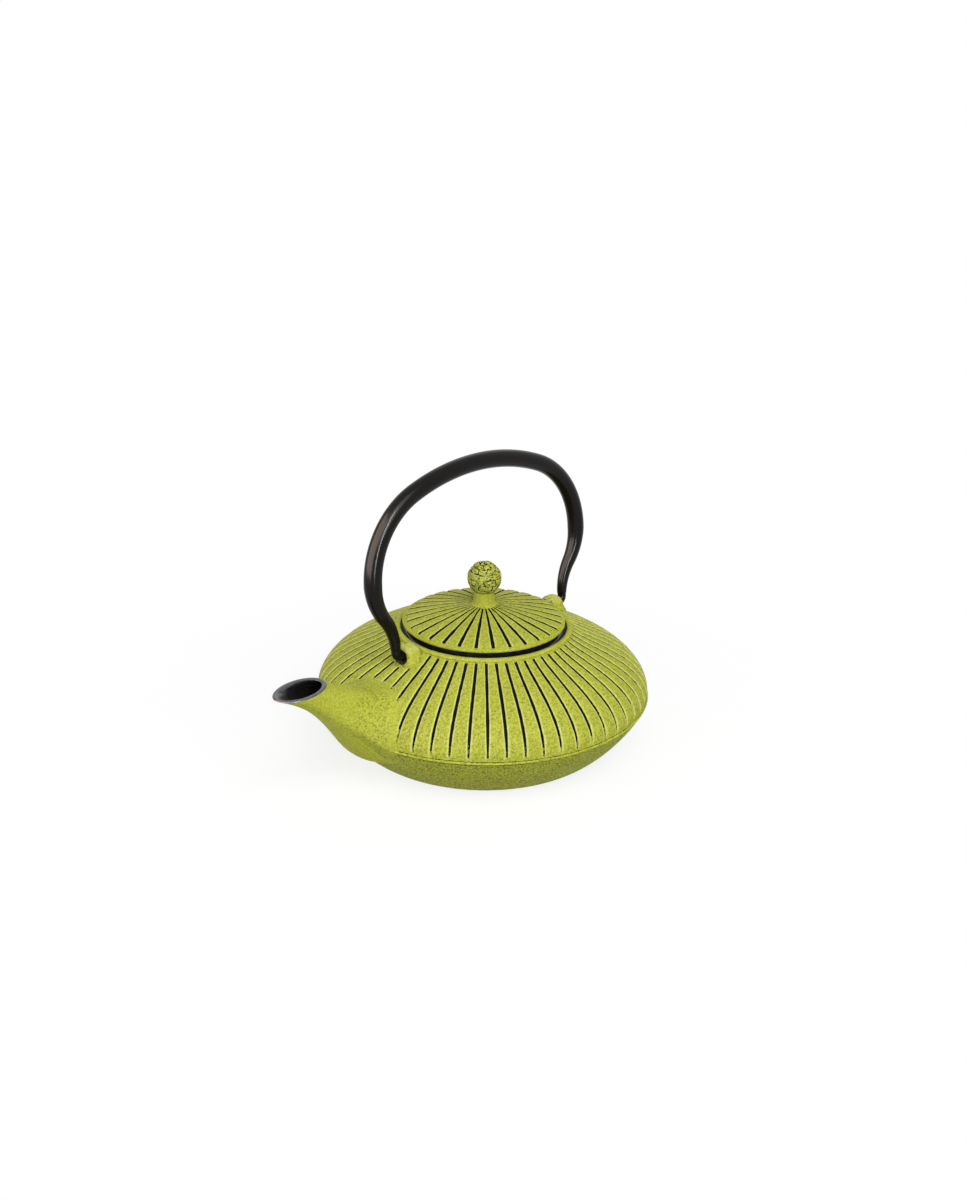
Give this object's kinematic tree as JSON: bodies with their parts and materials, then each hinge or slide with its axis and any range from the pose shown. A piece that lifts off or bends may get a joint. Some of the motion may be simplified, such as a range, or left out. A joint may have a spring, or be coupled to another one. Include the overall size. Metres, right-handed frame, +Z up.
{
  "type": "cast iron teapot",
  "caption": "Low round cast iron teapot with a ribbed dome, an upturned spout, a lift-off ribbed lid with a ball knob, a swinging bail handle and a hanging tea strainer.",
  "frame": {"origin": "middle of the flat base, on the surface that the pot stands on", "axes": "+Z up, +X along the spout, the handle's pivots lie along X"},
  "size_m": [0.2035, 0.164, 0.1443],
  "materials": {
    "green_iron": "matt lime green paint over black, black enamel inside",
    "black_steel": "semi-gloss black lacquer",
    "stainless": "bright stainless sheet and wire"
  },
  "bodies": {
    "pot": {"pot_body": "green_iron"},
    "handle": {"handle_tube": "black_steel", "handle_pin_front": "black_steel", "handle_pin_rear": "black_steel"},
    "lid": {"lid": "green_iron", "lid_knob": "green_iron", "knob_screw": "stainless", "knob_washer": "stainless"},
    "infuser": {"infuser_rim": "stainless", "infuser_wall": "stainless", "infuser_base": "stainless", "infuser_base_ring": "stainless"}
  },
  "joints": [
    {"name": "handle_swing", "type": "hinge", "parent": "pot", "child": "handle", "pos_m": [0, 0, 0.0573], "axis": [1, 0, 0], "range_deg": [-102, 94]},
    {"name": "lid_lift", "type": "slide", "parent": "pot", "child": "lid", "axis": [0, 0, 1], "range_m": [0, 0.035]},
    {"name": "infuser_lift", "type": "slide", "parent": "pot", "child": "infuser", "axis": [0, 0, 1], "range_m": [0, 0.0175]}
  ],
  "couplings": [
    {"joint": "infuser_lift", "follows": "lid_lift", "ratio": 0.5}
  ]
}
